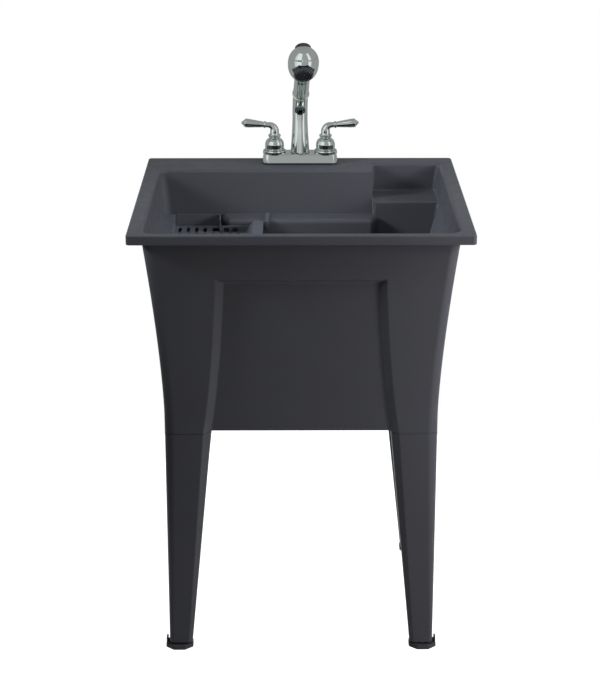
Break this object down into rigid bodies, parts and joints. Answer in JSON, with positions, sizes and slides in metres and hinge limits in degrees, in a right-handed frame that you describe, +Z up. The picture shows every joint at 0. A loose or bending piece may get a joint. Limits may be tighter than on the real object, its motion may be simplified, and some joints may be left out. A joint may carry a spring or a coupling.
{
  "type": "utility laundry sink",
  "caption": "Free-standing moulded laundry tub on plug-in legs with levelling feet, soap shelf, lift-out caddy, strainer and a two-lever tap with pull-out spray.",
  "frame": {"origin": "on the floor under the middle of the rim", "axes": "+Z up, front of the sink towards -Y, +X to the right for a person in front"},
  "size_m": [0.61, 0.559, 1.0991],
  "materials": {
    "tub_plastic": "satin moulded dark grey",
    "caddy_plastic": "satin moulded dark grey",
    "foot_plastic": "matt moulded dark grey",
    "chrome_plate": "polished chrome plate",
    "plain_brass": "machined",
    "stainless": "brushed",
    "black_rubber": "matt black",
    "white_plastic": "moulded off-white"
  },
  "bodies": {
    "sink": {"tub": "tub_plastic", "deck_gasket": "black_rubber", "base_plate": "chrome_plate", "waterway": "plain_brass", "hose_nipple": "plain_brass", "spout_bush": "white_plastic", "drain_flange": "stainless", "drain_gasket": "black_rubber", "drain_washer": "white_plastic", "drain_locknut": "white_plastic", "tailpiece": "white_plastic", "slip_nut": "white_plastic", "leg_front_left": "tub_plastic", "foot_insert_front_left": "plain_brass", "leg_front_right": "tub_plastic", "foot_insert_front_right": "plain_brass", "leg_rear_left": "tub_plastic", "foot_insert_rear_left": "plain_brass", "leg_rear_right": "tub_plastic", "foot_insert_rear_right": "plain_brass", "cartridge_left": "plain_brass", "bonnet_left": "chrome_plate", "shank_washer_left": "black_rubber", "shank_nut_left": "white_plastic", "cartridge_right": "plain_brass", "bonnet_right": "chrome_plate", "shank_washer_right": "black_rubber", "shank_nut_right": "white_plastic"},
    "foot_pad_front_left": {"foot_pad_front_left": "foot_plastic"},
    "foot_screw_front_left": {"foot_screw_front_left": "stainless"},
    "foot_pad_front_right": {"foot_pad_front_right": "foot_plastic"},
    "foot_screw_front_right": {"foot_screw_front_right": "stainless"},
    "foot_pad_rear_left": {"foot_pad_rear_left": "foot_plastic"},
    "foot_screw_rear_left": {"foot_screw_rear_left": "stainless"},
    "foot_pad_rear_right": {"foot_pad_rear_right": "foot_plastic"},
    "foot_screw_rear_right": {"foot_screw_rear_right": "stainless"},
    "handle_left": {"handle_left": "chrome_plate", "stem_left": "plain_brass", "handle_screw_left": "stainless"},
    "handle_right": {"handle_right": "chrome_plate", "stem_right": "plain_brass", "handle_screw_right": "stainless"},
    "spout": {"spout": "chrome_plate", "hose_guide": "white_plastic", "dock_ring": "chrome_plate"},
    "wand": {"wand": "chrome_plate", "spray_face": "black_rubber", "hose_connector": "plain_brass"},
    "spray_button": {"spray_button": "black_rubber"},
    "caddy": {"caddy": "caddy_plastic"},
    "drain_basket": {"drain_basket": "stainless"}
  },
  "joints": [
    {"name": "foot_height_front_left", "type": "slide", "parent": "sink", "child": "foot_pad_front_left", "axis": [0, 0, 1], "range_m": [-0.012, 0]},
    {"name": "foot_turn_front_left", "type": "hinge", "parent": "foot_pad_front_left", "child": "foot_screw_front_left", "pos_m": [-0.2325, -0.2085, 0.03], "axis": [0, 0, 1], "range_deg": [-1440, 0]},
    {"name": "foot_height_front_right", "type": "slide", "parent": "sink", "child": "foot_pad_front_right", "axis": [0, 0, 1], "range_m": [-0.012, 0]},
    {"name": "foot_turn_front_right", "type": "hinge", "parent": "foot_pad_front_right", "child": "foot_screw_front_right", "pos_m": [0.2325, -0.2085, 0.03], "axis": [0, 0, 1], "range_deg": [-1440, 0]},
    {"name": "foot_height_rear_left", "type": "slide", "parent": "sink", "child": "foot_pad_rear_left", "axis": [0, 0, 1], "range_m": [-0.012, 0]},
    {"name": "foot_turn_rear_left", "type": "hinge", "parent": "foot_pad_rear_left", "child": "foot_screw_rear_left", "pos_m": [-0.234, 0.207, 0.03], "axis": [0, 0, 1], "range_deg": [-1440, 0]},
    {"name": "foot_height_rear_right", "type": "slide", "parent": "sink", "child": "foot_pad_rear_right", "axis": [0, 0, 1], "range_m": [-0.012, 0]},
    {"name": "foot_turn_rear_right", "type": "hinge", "parent": "foot_pad_rear_right", "child": "foot_screw_rear_right", "pos_m": [0.234, 0.207, 0.03], "axis": [0, 0, 1], "range_deg": [-1440, 0]},
    {"name": "valve_left", "type": "hinge", "parent": "sink", "child": "handle_left", "pos_m": [-0.0508, 0.2465, 0.9], "axis": [0, 0, 1], "range_deg": [0, 90]},
    {"name": "valve_right", "type": "hinge", "parent": "sink", "child": "handle_right", "pos_m": [0.0508, 0.2465, 0.9], "axis": [0, 0, 1], "range_deg": [-90, 0]},
    {"name": "spout_swivel", "type": "hinge", "parent": "sink", "child": "spout", "pos_m": [0, 0.2465, 0.9], "axis": [0, 0, 1], "range_deg": [-60, 60]},
    {"name": "wand_pull", "type": "slide", "parent": "spout", "child": "wand", "axis": [0.0361, -0.7652, 0.6428], "range_m": [0, 0.3]},
    {"name": "button_press", "type": "slide", "parent": "wand", "child": "spray_button", "axis": [0.0303, -0.6421, -0.766], "range_m": [0, 0.003], "stiffness_N_per_m": 400},
    {"name": "caddy_lift", "type": "slide", "parent": "sink", "child": "caddy", "axis": [0, 0, 1], "range_m": [0, 0.15]},
    {"name": "basket_lift", "type": "slide", "parent": "sink", "child": "drain_basket", "axis": [0, 0, 1], "range_m": [0, 0.1]}
  ],
  "couplings": [
    {"joint": "foot_turn_front_left", "follows": "foot_height_front_left", "rad_per_m": 2094.4},
    {"joint": "foot_turn_front_right", "follows": "foot_height_front_right", "rad_per_m": 2094.4},
    {"joint": "foot_turn_rear_left", "follows": "foot_height_rear_left", "rad_per_m": 2094.4},
    {"joint": "foot_turn_rear_right", "follows": "foot_height_rear_right", "rad_per_m": 2094.4}
  ]
}
